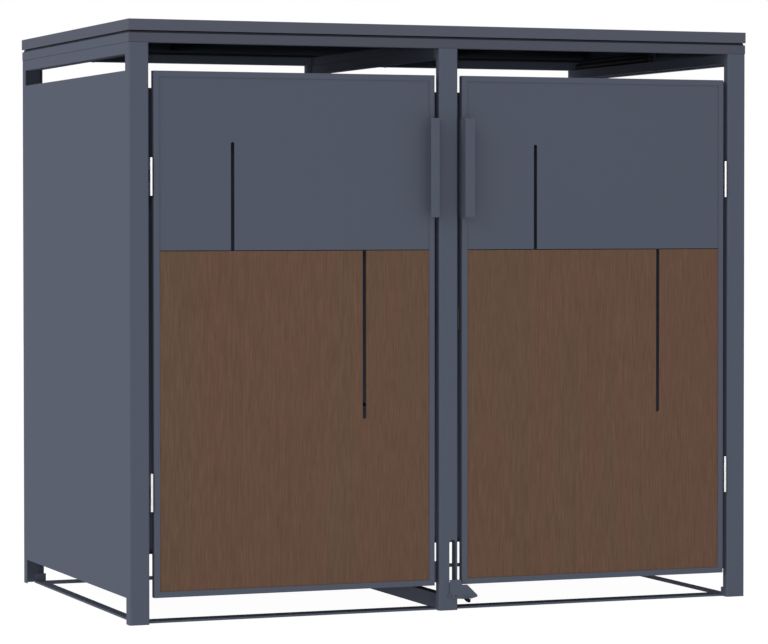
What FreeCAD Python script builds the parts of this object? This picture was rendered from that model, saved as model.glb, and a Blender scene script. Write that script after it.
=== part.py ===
import FreeCAD, Part
import Sketcher
import os
import re

# Wheelie bin store for two bins: a folded steel carcass with a hinged lid and two doors.
# Millimetres, +Z up, the doors face -Y. The origin is on the ground, under the middle of the
# carcass, where the partition's floor rail stands.

doc = FreeCAD.newDocument("bin_store")
sizes = doc.addObject("Spreadsheet::Sheet", "Sizes")

# Driving dimensions. Each cell holds one plain number and its alias is the name used below.
driving = {
    "store_height": 1200, "store_depth": 817, "bay_width": 620,
    "post_width": 41, "post_flange": 18, "latch_flange": 27, "wall_sheet": 2, "bend_radius": 3,
    "wall_leg": 25, "bottom_gap": 52.5, "front_vent": 55.5, "edge_return": 15, "panel_sheet": 1.5,
    "vent_height": 33.2, "vent_lip": 20, "rail_height": 20, "rail_width": 21, "rail_wall": 1.5,
    "partition_foot": 31,
    "ring_height": 19.4, "ring_width": 20, "ring_wall": 1.5, "ring_bend": 2,
    "bar_width": 40, "bar_thick": 4, "side_bar_width": 21, "bar_foot": 20, "bar_foot_lap": 4,
    "anchor_radius": 4.5,
    "lid_edge": 22.2, "lid_gap": 4.6, "lid_overhang": 1.2, "lid_sheet": 1.5, "lid_hem": 12,
    "stiffener_width": 60, "stiffener_depth": 16, "stiffener_place": 330, "buffer_side": 14,
    "running_gap": 0.3, "pin_clearance": 0.05,
    "door_gap": 10, "door_depth": 16, "door_lip": 11.5, "door_back_lip": 22, "door_sheet": 1.5,
    "door_edge_radius": 1, "upper_panel": 357, "split_gap": 1.6, "panel_return": 11,
    "slot_width": 7.5, "upper_slot_place": 165, "upper_slot_drop": 140,
    "lower_slot_place": 446.5, "lower_slot_bottom": 398.5,
    "brace_bottom": 345, "brace_height": 37, "brace_depth": 9,
    "handle_drop": 88, "handle_height": 202.5, "handle_reach": 25, "handle_width": 20,
    "handle_sheet": 2,
    "hinge_inset": 209.5, "hinge_length": 76, "knuckle_radius": 2.8, "hinge_pin_radius": 1.5,
    "leaf_sheet": 1.2, "leaf_depth": 14,
    "lid_knuckle_radius": 3.5, "lid_pin_radius": 1.7, "lid_leaf_height": 17,
    "lid_hinge_inset": 22, "lid_knuckles": 5, "lid_leaf_sheet": 1.2,
    "frame_leaf_drop": 2, "lid_leaf_rise": 2,
    "slide_slot_width": 14.6, "slide_slot_place": 9.3, "slide_slot_top": 145,
    "slide_plate": 2.5, "rivet_pitch": 10.4, "rivet_radius": 2,
    "rivet_head": 4.9, "rivet_dome": 1.2, "rivet_tail": 1,
    "bolt_inset": 7, "bolt_rise": 33, "bolt_foot": 7.2, "bolt_nose": 33, "nose_half": 1.8,
    "nose_drop": 2, "bolt_neck": 4, "bolt_shoulder": 10.3,
    "backing_half": 8.8, "backing_drop": 9, "backing_rise": 27,
    "rivet_height": 29.7, "toe_pad_depth": 12, "toe_pad_height": 6.5, "toe_pad_place": 3,
    "toe_pad_width": 11, "toe_pad_bevel": 5.5, "bolt_clear": 0.9, "nose_root": 19,
    "magnet_height": 600, "magnet_length": 46, "magnet_width": 13, "magnet_depth": 11,
    "magnet_overlap": 2, "keeper_sheet": 2,
    "strut_inset": 31, "strut_back": 34, "strut_drop": 14, "strut_lid_place": 430,
    "strut_lid_drop": 13.6, "strut_radius": 7, "rod_radius": 3, "eye_radius": 6, "eye_half": 3,
    "spring_cap": 6, "rod_shown": 14, "stud_radius": 3, "stud_head": 5, "stud_head_sheet": 1.7,
    "bracket_reach": 20, "bracket_half": 10, "bracket_gap": 1.5, "bracket_drop": 7, "bracket_shelf": 12,
    "screw_radius": 4, "screw_head": 3.8, "screw_place": 51,
}
for row, (alias, number) in enumerate(driving.items(), start=1):
    sizes.set("A%d" % row, alias)
    sizes.set("B%d" % row, str(number))
    sizes.setAlias("B%d" % row, alias)
doc.recompute()

# Places worked out from the driving dimensions, as formulas of the sheet's names.
half = "(bay_width + post_width * 1.5)"
mid = "(post_width / 2)"
bay_edge = "(bay_width + post_width / 2)"
front = "(-store_depth / 2)"
rear = "(store_depth / 2)"
carcass_top = "(store_height - lid_edge - lid_gap - ring_height)"
ring_top = f"({carcass_top} + ring_height)"
lid_bottom = "(store_height - lid_edge)"
panel_top = f"({carcass_top} - front_vent)"
vent_top = f"({panel_top} + vent_height)"
rail_bottom = f"({carcass_top} - rail_height)"
split_height = f"({panel_top} - upper_panel)"
handle_bottom = f"({panel_top} - handle_drop - handle_height)"
door_free = f"({mid} + door_gap)"
door_hung = f"({bay_edge} - door_gap)"
hinge_line = f"({bay_edge} - door_gap / 2)"
lid_axis_y = f"({rear} + lid_overhang + lid_knuckle_radius + running_gap)"
lid_axis_z = f"({ring_top} + lid_gap / 2)"


def bound(formula):
    """The formula with every size name pointed at the sheet."""
    def pointed(found):
        word = found.group(0)
        return "Sizes." + word if word in driving else word
    return re.sub("[a-z_]+", pointed, formula)


def size_of(formula):
    """The formula's present value in millimetres."""
    return float(sizes.evalExpression(bound(formula)))


def mirrored(side, low, high):
    """A span of x given for the right-hand side, turned over for the left."""
    if side > 0:
        return low, high
    return f"(-({high}))", f"(-({low}))"


def new_body(label):
    body = doc.addObject("PartDesign::Body", label)
    body.Label = label
    return body


def sketch_on(body, plane, offset):
    """An empty sketch on one of the body's origin planes, moved along the plane's normal."""
    sketch = body.newObject("Sketcher::SketchObject", body.Name + "_sketch")
    datum = [f for f in body.Origin.OriginFeatures if f.Role == plane][0]
    sketch.AttachmentSupport = (datum, [""])
    sketch.MapMode = "FlatFace"
    sketch.setExpression("AttachmentOffset.Base.z", bound(offset))
    return sketch


def add_loop(sketch, corners):
    """A closed outline of straight lines whose corners are tied to the sheet."""
    first = sketch.GeometryCount
    places = [FreeCAD.Vector(size_of(u), size_of(v), 0) for u, v in corners]
    total = len(corners)
    for i in range(total):
        sketch.addGeometry(Part.LineSegment(places[i], places[(i + 1) % total]), False)
    for i in range(total):
        sketch.addConstraint(Sketcher.Constraint("Coincident", first + i, 2, first + (i + 1) % total, 1))
    for i, (u, v) in enumerate(corners):
        across = sketch.addConstraint(Sketcher.Constraint("DistanceX", -1, 1, first + i, 1, places[i].x))
        sketch.setExpression("Constraints[%d]" % across, bound(u))
        along = sketch.addConstraint(Sketcher.Constraint("DistanceY", -1, 1, first + i, 1, places[i].y))
        sketch.setExpression("Constraints[%d]" % along, bound(v))


def add_circle(sketch, u, v, radius):
    """A circle whose centre and radius are tied to the sheet."""
    place = FreeCAD.Vector(size_of(u), size_of(v), 0)
    ring = sketch.addGeometry(Part.Circle(place, FreeCAD.Vector(0, 0, 1), size_of(radius)), False)
    rules = [("Radius", radius), ("DistanceX", u), ("DistanceY", v)]
    for kind, formula in rules:
        if kind == "Radius":
            rule = Sketcher.Constraint(kind, ring, size_of(formula))
        else:
            rule = Sketcher.Constraint(kind, -1, 1, ring, 3, size_of(formula))
        index = sketch.addConstraint(rule)
        sketch.setExpression("Constraints[%d]" % index, bound(formula))


def draw(sketch, loops):
    """Outlines are lists of corners, and circles are (u, v, radius)."""
    for loop in loops:
        if isinstance(loop, tuple):
            add_circle(sketch, *loop)
        else:
            add_loop(sketch, loop)


def start_of(plane, low, high):
    """Where a sketch stands so that its feature fills low to high along the plane's axis."""
    return f"(-({high}))" if plane == "XZ_Plane" else low


def pad(body, plane, loops, low, high):
    """Material between low and high, with the outline drawn on the plane."""
    sketch = sketch_on(body, plane, start_of(plane, low, high))
    draw(sketch, loops)
    feature = body.newObject("PartDesign::Pad", body.Name + "_pad")
    feature.Profile = sketch
    feature.setExpression("Length", bound(f"({high}) - ({low})"))
    doc.recompute()
    return feature


def pocket(body, plane, loops, low, high):
    """The same span cut away, with the loss of volume compared."""
    before = body.Shape.Volume
    sketch = sketch_on(body, plane, start_of(plane, low, high))
    draw(sketch, loops)
    feature = body.newObject("PartDesign::Pocket", body.Name + "_pocket")
    feature.Profile = sketch
    feature.Reversed = True
    feature.setExpression("Length", bound(f"({high}) - ({low})"))
    doc.recompute()
    if body.Shape.Volume > before - 0.01:
        raise RuntimeError(body.Label + ": a pocket cut nothing")
    return feature


def rounded(body, radius, wanted):
    """A fillet on the edges of the tip whose middle point and direction pass the test."""
    base = body.Tip
    names = []
    for index, edge in enumerate(base.Shape.Edges, start=1):
        if edge.Curve.TypeId != "Part::GeomLine":
            continue
        if wanted(edge.CenterOfMass, edge.Curve.Direction):
            names.append("Edge%d" % index)
    feature = body.newObject("PartDesign::Fillet", body.Name + "_fillet")
    feature.Base = (base, names)
    feature.setExpression("Radius", bound(radius))
    doc.recompute()
    return feature


def box_loop(u_low, u_high, v_low, v_high):
    return [(u_low, v_low), (u_high, v_low), (u_high, v_high), (u_low, v_high)]


def near(value, formula):
    return abs(value - size_of(formula)) < 0.01


def grouped(label, members):
    """Identical small pieces of one kind share a node as separate solids."""
    group = doc.addObject("Part::Compound", label)
    group.Links = members
    group.Label = label
    return group


def rod(name, radius, low, high, place, axis):
    """A round bar from low to high along the world axis, through the place across it."""
    bar = doc.addObject("Part::Cylinder", name)
    bar.setExpression("Radius", bound(radius))
    bar.setExpression("Height", bound(f"({high}) - ({low})"))
    turns = {"X": (FreeCAD.Vector(0, 1, 0), 90), "Y": (FreeCAD.Vector(1, 0, 0), -90),
             "Z": (FreeCAD.Vector(0, 0, 1), 0)}
    bar.Placement.Rotation = FreeCAD.Rotation(*turns[axis])
    ways = {"X": (low, place[0], place[1]), "Y": (place[0], low, place[1]),
            "Z": (place[0], place[1], low)}
    for letter, formula in zip("xyz", ways[axis]):
        bar.setExpression("Placement.Base." + letter, bound(formula))
    return bar


def hexagon(name, radius, height):
    """A hexagonal nut or screw head, standing on its face."""
    head = doc.addObject("Part::Prism", name)
    head.Polygon = 6
    head.setExpression("Circumradius", bound(radius))
    head.setExpression("Height", bound(height))
    return head


def fused(label, members):
    joined = doc.addObject("Part::MultiFuse", label)
    joined.Shapes = members
    joined.Label = label
    return joined


def named(side):
    return "left" if side < 0 else "right"


# Side walls. Each is one sheet: the side, folded round both corners into a 41 mm face and a
# flange, with the vent under the top rail and the gap over the floor cut through the side.
def side_wall(side):
    body = new_body(named(side) + "_side_wall")
    inner = f"({half} - post_width)"
    outline = [
        (inner, f"{front} + post_flange"), (inner, front), (half, front),
        (half, rear), (inner, rear), (inner, f"{rear} - post_flange"),
        (f"{inner} + wall_sheet", f"{rear} - post_flange"),
        (f"{inner} + wall_sheet", f"{rear} - wall_sheet"),
        (f"{half} - wall_sheet", f"{rear} - wall_sheet"),
        (f"{half} - wall_sheet", f"{front} + wall_sheet"),
        (f"{inner} + wall_sheet", f"{front} + wall_sheet"),
        (f"{inner} + wall_sheet", f"{front} + post_flange"),
    ]
    pad(body, "XY_Plane", [[(f"({side}) * ({u})", v) for u, v in outline]], "0", carcass_top)

    def outer_bend(at, along):
        on_x = near(abs(at.x), half) or near(abs(at.x), inner)
        on_y = near(at.y, front) or near(at.y, rear)
        return abs(along.z) > 0.9 and on_x and on_y

    def inner_bend(at, along):
        on_x = near(abs(at.x), f"{half} - wall_sheet") or near(abs(at.x), f"{inner} + wall_sheet")
        on_y = near(at.y, f"{front} + wall_sheet") or near(at.y, f"{rear} - wall_sheet")
        return abs(along.z) > 0.9 and on_x and on_y

    rounded(body, "bend_radius", outer_bend)
    rounded(body, "bend_radius - wall_sheet", inner_bend)
    across = mirrored(side, f"{half} - wall_sheet - 1", f"{half} + 1")
    legs = (f"{front} + wall_leg", f"{rear} - wall_leg")
    pocket(body, "YZ_Plane", [box_loop(*legs, panel_top, vent_top)], *across)
    pocket(body, "YZ_Plane", [box_loop(*legs, "(-1)", "bottom_gap")], *across)
    turned_in = mirrored(side, f"{half} - edge_return", f"{half} - wall_sheet / 2")
    pad(body, "YZ_Plane", [box_loop(*legs, f"{panel_top} - wall_sheet", panel_top)], *turned_in)
    pad(body, "YZ_Plane", [box_loop(*legs, "bottom_gap", "bottom_gap + wall_sheet")], *turned_in)
    under_rail = mirrored(side, f"{half} - vent_lip", f"{half} - wall_sheet / 2")
    pad(body, "YZ_Plane", [box_loop(*legs, vent_top, f"{vent_top} + wall_sheet")], *under_rail)
    return body


# Centre posts. Folded channels, open to the inside. The front one has the slot of the foot bolt,
# and its flange beside that bolt is the deeper one.
def centre_post(label, face, way):
    body = new_body(label)
    right_flange = "latch_flange" if way > 0 else "post_flange"
    left_end = f"{face} + ({way}) * post_flange"
    right_end = f"{face} + ({way}) * {right_flange}"
    web_back = f"{face} + ({way}) * wall_sheet"
    outline = [
        (f"-{mid}", left_end), (f"-{mid}", face), (mid, face), (mid, right_end),
        (f"{mid} - wall_sheet", right_end), (f"{mid} - wall_sheet", web_back),
        (f"-{mid} + wall_sheet", web_back), (f"-{mid} + wall_sheet", left_end),
    ]
    pad(body, "XY_Plane", [outline], "0", carcass_top)
    rounded(body, "bend_radius", lambda at, along: abs(along.z) > 0.9
            and near(abs(at.x), mid) and near(at.y, face))
    if way > 0:
        low_x = "slide_slot_place - slide_slot_width / 2"
        high_x = "slide_slot_place + slide_slot_width / 2"
        arc_z = "slide_slot_top - slide_slot_width / 2"
        span = (f"{face} - 1", f"{face} + wall_sheet + 1")
        foot = "rivet_height - rivet_radius - running_gap"
        pocket(body, "XZ_Plane", [box_loop(low_x, high_x, foot, arc_z)], *span)
        pocket(body, "XZ_Plane", [("slide_slot_place", arc_z, "slide_slot_width / 2")], *span)
    return body


# Rear panels. A tray of thin sheet between the rear posts, flush with their faces.
def rear_panel(side):
    body = new_body(named(side) + "_rear_panel")
    low, high = mirrored(side, mid, bay_edge)
    back = f"{rear} - edge_return"
    inside = f"{rear} - panel_sheet"
    outline = [
        (low, back), (low, rear), (high, rear), (high, back),
        (f"{high} - panel_sheet", back), (f"{high} - panel_sheet", inside),
        (f"{low} + panel_sheet", inside), (f"{low} + panel_sheet", back),
    ]
    pad(body, "XY_Plane", [outline], "bottom_gap", panel_top)
    lip = [box_loop(f"{low} + panel_sheet / 2", f"{high} - panel_sheet / 2",
                    back, f"{rear} - panel_sheet / 2")]
    pad(body, "XY_Plane", lip, "bottom_gap", "bottom_gap + panel_sheet")
    pad(body, "XY_Plane", lip, f"{panel_top} - panel_sheet", panel_top)
    return body


# Rails front to back: square tube inside the top of each side wall, and the partition's top and
# floor rails between the centre posts, which stop at the posts' flanges on welded end plates.
def tube_rail(label, low_x, high_x, low_y, high_y, low_z, high_z):
    body = new_body(label)
    outer = box_loop(low_x, high_x, low_z, high_z)
    bore = box_loop(f"{low_x} + rail_wall", f"{high_x} - rail_wall",
                    f"{low_z} + rail_wall", f"{high_z} - rail_wall")
    pad(body, "XZ_Plane", [outer, bore], low_y, high_y)
    return body


def side_top_rail(side):
    low, high = mirrored(side, bay_edge, f"{bay_edge} + rail_width")
    ends = (f"{front} + post_flange", f"{rear} - post_flange")
    return tube_rail(named(side) + "_top_rail", low, high, *ends, rail_bottom, carcass_top)


def partition_rail(label, low_z, high_z):
    ends = (f"{front} + latch_flange", f"{rear} - post_flange")
    body = tube_rail(label, "-rail_width / 2", "rail_width / 2", *ends, low_z, high_z)
    plate = [box_loop(f"-{mid}", mid, low_z, high_z)]
    pad(body, "XZ_Plane", plate, ends[0], f"{ends[0]} + wall_sheet")
    pad(body, "XZ_Plane", plate, f"{ends[1]} - wall_sheet", ends[1])
    return body


# Floor bars. Flat steel across each bay, behind the posts' flanges front and rear, with a hole for
# a ground anchor, and a narrower bar along the foot of each side with an end plate at each flange.
def cross_floor_bar(side, face, way):
    label = named(side) + ("_front" if way > 0 else "_rear") + "_floor_bar"
    body = new_body(label)
    low, high = mirrored(side, mid, bay_edge)
    start = f"{face} + ({way}) * (post_flange + wall_sheet)"
    edges = sorted([start, f"{start} + ({way}) * bar_width"], key=size_of)
    pad(body, "XY_Plane", [box_loop(low, high, *edges)], "0", "bar_thick")
    hole = (f"(({low}) + ({high})) / 2", f"{start} + ({way}) * bar_width / 2", "anchor_radius")
    pocket(body, "XY_Plane", [hole], "(-1)", "bar_thick + 1")
    return body


def side_floor_bar(side):
    body = new_body(named(side) + "_side_floor_bar")
    low, high = mirrored(side, bay_edge, f"{bay_edge} + side_bar_width")
    ends = (f"{front} + post_flange", f"{rear} - post_flange")
    pad(body, "XY_Plane", [box_loop(low, high, *ends)], "0", "bar_thick")
    foot = mirrored(side, f"{bay_edge} - bar_foot_lap", f"{bay_edge} + side_bar_width")
    for low_y, high_y in ((ends[0], f"{ends[0]} + wall_sheet"), (f"{ends[1]} - wall_sheet", ends[1])):
        pad(body, "XY_Plane", [box_loop(*foot, low_y, high_y)], "0", "bar_foot")
    return body


# Roof frame. Five lengths of tube on top of the carcass: four mitred at the corners and one
# over the partition.
def on_outside(height):
    """Whether a height is that of the roof tubes' upper or lower side."""
    return near(height, carcass_top) or near(height, ring_top)


def mitred_tube(label, along, low, high, face, way):
    """A tube along x or y whose outer side is at face and whose ends are cut at 45 degrees."""
    body = new_body(label)
    edges = sorted([face, f"{face} + ({way}) * ring_width"], key=size_of)
    inner = (f"{edges[0]} + ring_wall", f"{edges[1]} - ring_wall")
    hollow = (f"{carcass_top} + ring_wall", f"{ring_top} - ring_wall")
    section = [box_loop(*edges, carcass_top, ring_top), box_loop(*inner, *hollow)]
    pad(body, "YZ_Plane" if along == "x" else "XZ_Plane", section, low, high)
    rounded(body, "ring_bend", lambda at, run: abs(getattr(run, along)) > 0.9 and on_outside(at.z))
    for end, turn in ((low, 1), (high, -1)):
        wedge = [(end, face), (end, f"{face} + ({way}) * ring_width * 1.1"),
                 (f"{end} + ({turn}) * ring_width * 1.1", f"{face} + ({way}) * ring_width * 1.1")]
        if along == "y":
            wedge = [(v, u) for u, v in wedge]
        pocket(body, "XY_Plane", [wedge], f"{carcass_top} - 1", f"{ring_top} + 1")
    return body


def middle_roof_tube():
    body = new_body("roof_frame_middle")
    wide = ("-ring_width / 2", "ring_width / 2")
    tall = (carcass_top, ring_top)
    inner = ("-ring_width / 2 + ring_wall", "ring_width / 2 - ring_wall")
    hollow = (f"{carcass_top} + ring_wall", f"{ring_top} - ring_wall")
    pad(body, "XZ_Plane", [box_loop(*wide, *tall), box_loop(*inner, *hollow)],
        f"{front} + ring_width", f"{rear} - ring_width")
    rounded(body, "ring_bend", lambda at, run: abs(run.y) > 0.9 and on_outside(at.z))
    return body


# Lid. A tray folded from one sheet, with a hem turned in under its skirt, and two stiffening
# channels under the top. It lies on rubber buffers and turns on a long hinge behind.
def lid_tray():
    body = new_body("lid_tray")
    wide = (f"-{half} - lid_overhang", f"{half} + lid_overhang")
    deep = (f"{front} - lid_overhang", f"{rear} + lid_overhang")
    pad(body, "XY_Plane", [box_loop(*wide, *deep)], lid_bottom, "store_height")
    rounded(body, "lid_sheet", lambda at, along: near(at.z, "store_height") or abs(along.z) > 0.9)
    hollow = box_loop(f"{wide[0]} + lid_sheet", f"{wide[1]} - lid_sheet",
                      f"{deep[0]} + lid_sheet", f"{deep[1]} - lid_sheet")
    pocket(body, "XY_Plane", [hollow], f"{lid_bottom} + lid_sheet", "store_height - lid_sheet")
    mouth = box_loop(f"{wide[0]} + lid_hem", f"{wide[1]} - lid_hem",
                     f"{deep[0]} + lid_hem", f"{deep[1]} - lid_hem")
    pocket(body, "XY_Plane", [mouth], f"{lid_bottom} - 1", f"{lid_bottom} + lid_sheet")
    return body


def lid_stiffener(side):
    body = new_body(named(side) + "_stiffener")
    low, high = mirrored(side, "stiffener_place - stiffener_width / 2",
                         "stiffener_place + stiffener_width / 2")
    top = "store_height - lid_sheet"
    foot = f"{top} - stiffener_depth"
    flange = "stiffener_width / 4"
    outline = [
        (low, top), (f"{low} + {flange}", top), (f"{low} + {flange}", f"{foot} + lid_sheet"),
        (f"{high} - {flange}", f"{foot} + lid_sheet"), (f"{high} - {flange}", top), (high, top),
        (high, f"{top} - lid_sheet"), (f"{high} - {flange} + lid_sheet", f"{top} - lid_sheet"),
        (f"{high} - {flange} + lid_sheet", foot), (f"{low} + {flange} - lid_sheet", foot),
        (f"{low} + {flange} - lid_sheet", f"{top} - lid_sheet"), (low, f"{top} - lid_sheet"),
    ]
    pad(body, "XZ_Plane", [outline], f"{front} + lid_hem * 2", f"{rear} - lid_hem * 2")
    return body


def lid_buffers():
    """Eight rubber blocks on the roof frame, just under the lid's hem."""
    spots = []
    for side in (-1, 1):
        for share in (-0.36, 0, 0.36):
            spots.append((f"({side}) * ({half} - ring_width / 2)", f"({share}) * store_depth"))
        spots.append((f"({side}) * bay_width / 2", f"{front} + ring_width / 2"))
    blocks = []
    for index, (x, y) in enumerate(spots):
        block = doc.addObject("Part::Box", "buffer_%d" % index)
        block.setExpression("Length", bound("buffer_side"))
        block.setExpression("Width", bound("buffer_side"))
        block.setExpression("Height", bound("lid_gap - running_gap"))
        block.setExpression("Placement.Base.x", bound(f"{x} - buffer_side / 2"))
        block.setExpression("Placement.Base.y", bound(f"{y} - buffer_side / 2"))
        block.setExpression("Placement.Base.z", bound(ring_top))
        blocks.append(block)
    return grouped("lid_buffers", blocks)


# Long lid hinge. Both leaves lie flat on the rear faces, and their knuckles alternate on one pin.
lid_hinge_ends = (f"-{half} + lid_hinge_inset", f"{half} - lid_hinge_inset")


def lid_hinge_leaf(label, own_first, leaf_low, leaf_high, leaf_face):
    body = new_body(label)
    ends = lid_hinge_ends
    pad(body, "YZ_Plane", [box_loop(leaf_face, f"{leaf_face} + lid_leaf_sheet", leaf_low, leaf_high)], *ends)
    bridge = sorted([leaf_low, leaf_high], key=lambda z: abs(size_of(z) - size_of(lid_axis_z)))[0]
    step = sorted([bridge, f"{bridge} + ({'1' if own_first else '-1'}) * (-lid_leaf_sheet)"], key=size_of)
    pad(body, "YZ_Plane", [box_loop(leaf_face, lid_axis_y, *step)], *ends)
    pad(body, "YZ_Plane", [(lid_axis_y, lid_axis_z, "lid_knuckle_radius")], *ends)
    bore = [(lid_axis_y, lid_axis_z, "lid_pin_radius + pin_clearance")]
    pocket(body, "YZ_Plane", bore, f"{ends[0]} - 1", f"{ends[1]} + 1")
    reach = "(lid_knuckle_radius + running_gap)"
    clear = box_loop(f"{lid_axis_y} - {reach}", f"{lid_axis_y} + {reach}",
                     f"{lid_axis_z} - {reach}", f"{lid_axis_z} + {reach}")
    gap = "running_gap / 2"
    pitch = f"(({ends[1]}) - ({ends[0]})) / lid_knuckles"
    for index in range(int(driving["lid_knuckles"])):
        if (index % 2 == 0) == own_first:
            continue
        start = f"{ends[0]} + {pitch} * {index} - {gap}"
        pocket(body, "YZ_Plane", [clear], start, f"{ends[0]} + {pitch} * {index + 1} + {gap}")
    return body


# Doors. A folded frame with a front lip, two sheet panels behind the lip that meet at the split,
# a brace across the back, an angle for a handle and two butt hinges on the outer post.
def door_frame(side):
    body = new_body(named(side) + "_door_frame")
    low, high = mirrored(side, door_free, door_hung)
    outer = box_loop(low, high, "bottom_gap", panel_top)

    def inset(depth):
        return box_loop(f"{low} + {depth}", f"{high} - {depth}",
                        f"bottom_gap + {depth}", f"{panel_top} - {depth}")

    back = f"{front} + door_depth"
    pad(body, "XZ_Plane", [outer, inset("door_sheet")], front, back)
    pad(body, "XZ_Plane", [outer, inset("door_lip")], front, f"{front} + door_sheet")
    pad(body, "XZ_Plane", [outer, inset("door_back_lip")], f"{back} - door_sheet", back)

    def outer_front(at, along):
        upright = near(at.x, low) or near(at.x, high)
        level = near(at.z, "bottom_gap") or near(at.z, panel_top)
        return near(at.y, front) and (upright or level)

    rounded(body, "door_edge_radius", outer_front)
    return body


def door_panel(side, upper):
    body = new_body(named(side) + ("_door_upper_panel" if upper else "_door_lower_panel"))
    low, high = mirrored(side, door_free, door_hung)
    wide = (f"{low} + door_sheet", f"{high} - door_sheet")
    face = f"{front} + door_sheet"
    if upper:
        tall = (f"{split_height} + split_gap / 2", f"{panel_top} - door_sheet")
        flange = (tall[0], f"{tall[0]} + panel_sheet")
        place = f"{low} + upper_slot_place"
        slot = (f"{tall[0]} - 1", f"{panel_top} - upper_slot_drop - slot_width / 2")
        tip = slot[1]
    else:
        tall = ("bottom_gap + door_sheet", f"{split_height} - split_gap / 2")
        flange = (f"{tall[1]} - panel_sheet", tall[1])
        place = f"{low} + lower_slot_place"
        slot = ("lower_slot_bottom + slot_width / 2", f"{tall[1]} + 1")
        tip = slot[0]
    pad(body, "XZ_Plane", [box_loop(*wide, *tall)], face, f"{face} + panel_sheet")
    inside = (f"{low} + door_back_lip + 1", f"{high} - door_back_lip - 1")
    pad(body, "XZ_Plane", [box_loop(*inside, *flange)], f"{face} + panel_sheet / 2", f"{face} + panel_return")
    span = (f"{face} - 1", f"{face} + panel_return + 1")
    wide = (f"{place} - slot_width / 2", f"{place} + slot_width / 2")
    pocket(body, "XZ_Plane", [box_loop(*wide, *slot)], *span)
    pocket(body, "XZ_Plane", [(place, tip, "slot_width / 2")], *span)
    return body


def door_brace(side):
    body = new_body(named(side) + "_door_brace")
    low, high = mirrored(side, door_free, door_hung)
    face = f"{front} + door_sheet + panel_sheet"
    top = "brace_bottom + brace_height"
    back = f"{face} + brace_depth"
    outline = [
        (face, "brace_bottom"), (back, "brace_bottom"), (back, top), (face, top),
        (face, f"{top} - door_sheet"), (f"{back} - door_sheet", f"{top} - door_sheet"),
        (f"{back} - door_sheet", "brace_bottom + door_sheet"), (face, "brace_bottom + door_sheet"),
    ]
    pad(body, "YZ_Plane", [outline], f"{low} + door_sheet", f"{high} - door_sheet")
    return body


def door_handle(side):
    body = new_body(named(side) + "_door_handle")
    edge = f"({door_free} - handle_sheet)"
    tip = f"{edge} + handle_width"
    nose = f"{front} - handle_reach"
    root = f"{front} + door_depth - door_sheet"
    outline = [(edge, root), (edge, nose), (tip, nose), (tip, f"{nose} + handle_sheet"),
               (f"{edge} + handle_sheet", f"{nose} + handle_sheet"), (f"{edge} + handle_sheet", root)]
    pad(body, "XY_Plane", [[(f"({side}) * ({u})", v) for u, v in outline]],
        handle_bottom, f"{handle_bottom} + handle_height")
    rounded(body, "handle_sheet", lambda at, along: abs(along.z) > 0.9
            and near(abs(at.x), edge) and near(at.y, nose))
    return body


def hinge_heights():
    """The middle heights of a door's two hinges."""
    return ("bottom_gap + hinge_inset", f"{panel_top} - hinge_inset")


def hinge_leaf(side, on_door, index, middle):
    """One leaf of a butt hinge: the post has the outer knuckles and the door the middle one."""
    body = new_body("%s_leaf_%d_%d" % (named(side), on_door, index))
    seat = f"({hinge_line} - door_gap / 2)" if on_door else f"({hinge_line} + door_gap / 2)"
    way = 1 if on_door else -1
    shelf = f"{seat} + ({way}) * leaf_sheet"
    back = f"{front} + leaf_depth"
    near_side = f"{front} + hinge_pin_radius - leaf_sheet / 3"
    far_side = f"{near_side} + leaf_sheet"
    outline = [
        (seat, back), (seat, near_side), (hinge_line, near_side),
        (hinge_line, far_side), (shelf, far_side), (shelf, back),
    ]
    bottom = f"{middle} - hinge_length / 2"
    third = "hinge_length / 3"
    top = f"{middle} + hinge_length / 2"
    pad(body, "XY_Plane", [[(f"({side}) * ({u})", v) for u, v in outline]], bottom, top)
    centre = f"({side}) * {hinge_line}"
    pad(body, "XY_Plane", [(centre, front, "knuckle_radius")], bottom, top)
    bore = [(centre, front, "hinge_pin_radius + pin_clearance")]
    pocket(body, "XY_Plane", bore, f"{bottom} - 1", f"{top} + 1")
    reach = "(knuckle_radius + running_gap)"
    clear = [box_loop(f"{centre} - {reach}", f"{centre} + {reach}",
                      f"{front} - {reach}", f"{front} + {reach}")]
    gap = "running_gap / 2"
    if on_door:
        pocket(body, "XY_Plane", clear, f"{bottom} - 1", f"{bottom} + {third} + {gap}")
        pocket(body, "XY_Plane", clear, f"{top} - {third} - {gap}", f"{top} + 1")
    else:
        pocket(body, "XY_Plane", clear, f"{bottom} + {third} - {gap}", f"{top} - {third} + {gap}")
    return body


def hinge_pins(side):
    pins = []
    for index, middle in enumerate(hinge_heights()):
        span = (f"{middle} - hinge_length / 2", f"{middle} + hinge_length / 2")
        name = "%s_pin_%d" % (named(side), index)
        pins.append(rod(name, "hinge_pin_radius", *span, (f"({side}) * {hinge_line}", front), "Z"))
    return grouped(named(side) + "_hinge_pins", pins)


# Magnetic catches. An angle inside the centre post carries a magnet behind each door's free edge,
# and the door has a keeper plate there.
magnet_span = ("magnet_height - magnet_length / 2", "magnet_height + magnet_length / 2")


def magnet_bracket(side):
    body = new_body(named(side) + "_magnet_angle")
    seat = f"({mid} - wall_sheet)"
    nose = f"({door_free} + magnet_width - magnet_overlap)"
    stand = f"({front} + door_depth + keeper_sheet + running_gap + magnet_depth)"
    outline = [
        (seat, f"{front} + wall_sheet * 2"), (seat, stand),
        (nose, stand), (nose, f"{stand} + wall_sheet"),
        (f"{seat} - wall_sheet", f"{stand} + wall_sheet"),
        (f"{seat} - wall_sheet", f"{front} + wall_sheet * 2"),
    ]
    pad(body, "XY_Plane", [[(f"({side}) * ({u})", v) for u, v in outline]], *magnet_span)
    return body


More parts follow.
